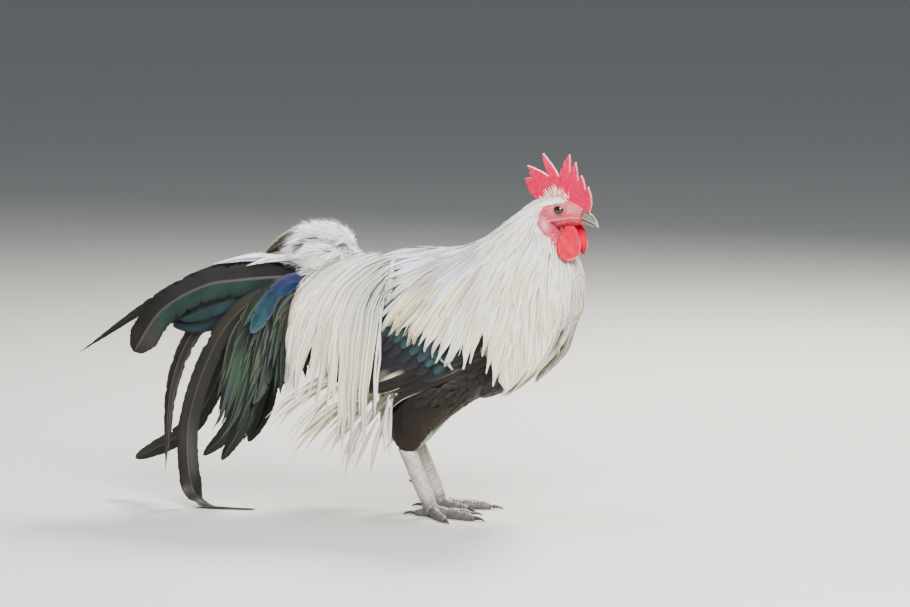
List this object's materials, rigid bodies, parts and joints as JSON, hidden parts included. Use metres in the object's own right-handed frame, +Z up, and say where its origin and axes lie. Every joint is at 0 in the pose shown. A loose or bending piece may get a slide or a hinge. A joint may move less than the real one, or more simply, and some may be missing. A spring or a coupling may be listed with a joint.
{
  "type": "rooster",
  "caption": "Life-size museum-style model of a standing long-tailed silver duckwing rooster, head up, with one long tail feather reaching down to the floor.",
  "frame": {"origin": "middle of the underside of the whole bird's box, on the floor", "axes": "+X the way the bird faces, +Y its left side, +Z up"},
  "size_m": [0.6266, 0.1636, 0.4085],
  "materials": {
    "white_feather": "long ivory-white hackle, saddle and rump feathers, silky, cream in the folds",
    "black_feather": "brown-black body and tail feathers with a soft sheen; the wing bar is dark teal",
    "green_feather": "beetle-green and blue tail coverts that shine",
    "face_skin": "bare dusty red facial skin, finely wrinkled",
    "comb_skin": "bright red single comb and wattles, finely pebbled, waxy",
    "eye": "dark red-brown eye, wet and clear",
    "bill_horn": "horn bill, dark grey above, cream below",
    "leg_scale": "pale grey scaled shanks, slate grey toes",
    "claw_horn": "dark horn claws and spurs, smooth"
  },
  "bodies": {
    "root": {"bill_lower": "bill_horn", "bill_upper": "bill_horn", "blue_covert_left": "green_feather", "blue_covert_right": "green_feather", "claw_hind_left": "claw_horn", "claw_hind_right": "claw_horn", "claw_inner_left": "claw_horn", "claw_inner_right": "claw_horn", "claw_middle_left": "claw_horn", "claw_middle_right": "claw_horn", "claw_outer_left": "claw_horn", "claw_outer_right": "claw_horn", "comb": "comb_skin", "covert_1_left": "green_feather", "covert_1_right": "green_feather", "covert_2_left": "green_feather", "covert_2_right": "green_feather", "covert_3_left": "green_feather", "covert_3_right": "green_feather", "covert_4_left": "green_feather", "covert_4_right": "green_feather", "earlobe_left": "face_skin", "earlobe_right": "face_skin", "eye_left": "eye", "eye_right": "eye", "foot_left": "leg_scale", "foot_right": "leg_scale", "hackle_cape": "white_feather", "hanging_feather_left": "black_feather", "hanging_feather_right": "black_feather", "head": "face_skin", "main_sickle_left": "black_feather", "main_sickle_right": "black_feather", "neck": "white_feather", "rump_tuft": "white_feather", "saddle_left": "white_feather", "saddle_right": "white_feather", "shank_left": "leg_scale", "shank_right": "leg_scale", "spur_left": "claw_horn", "spur_right": "claw_horn", "tail_base": "black_feather", "tail_feather_1_left": "black_feather", "tail_feather_1_right": "black_feather", "tail_feather_2_left": "black_feather", "tail_feather_2_right": "black_feather", "tail_feather_3_left": "black_feather", "thigh_left": "black_feather", "thigh_right": "black_feather", "top_covert": "black_feather", "trunk": "black_feather", "upper_sickle_left": "black_feather", "upper_sickle_right": "black_feather", "wattle_left": "comb_skin", "wattle_right": "comb_skin", "wing_left": "black_feather", "wing_right": "black_feather"}
  },
  "joints": []
}
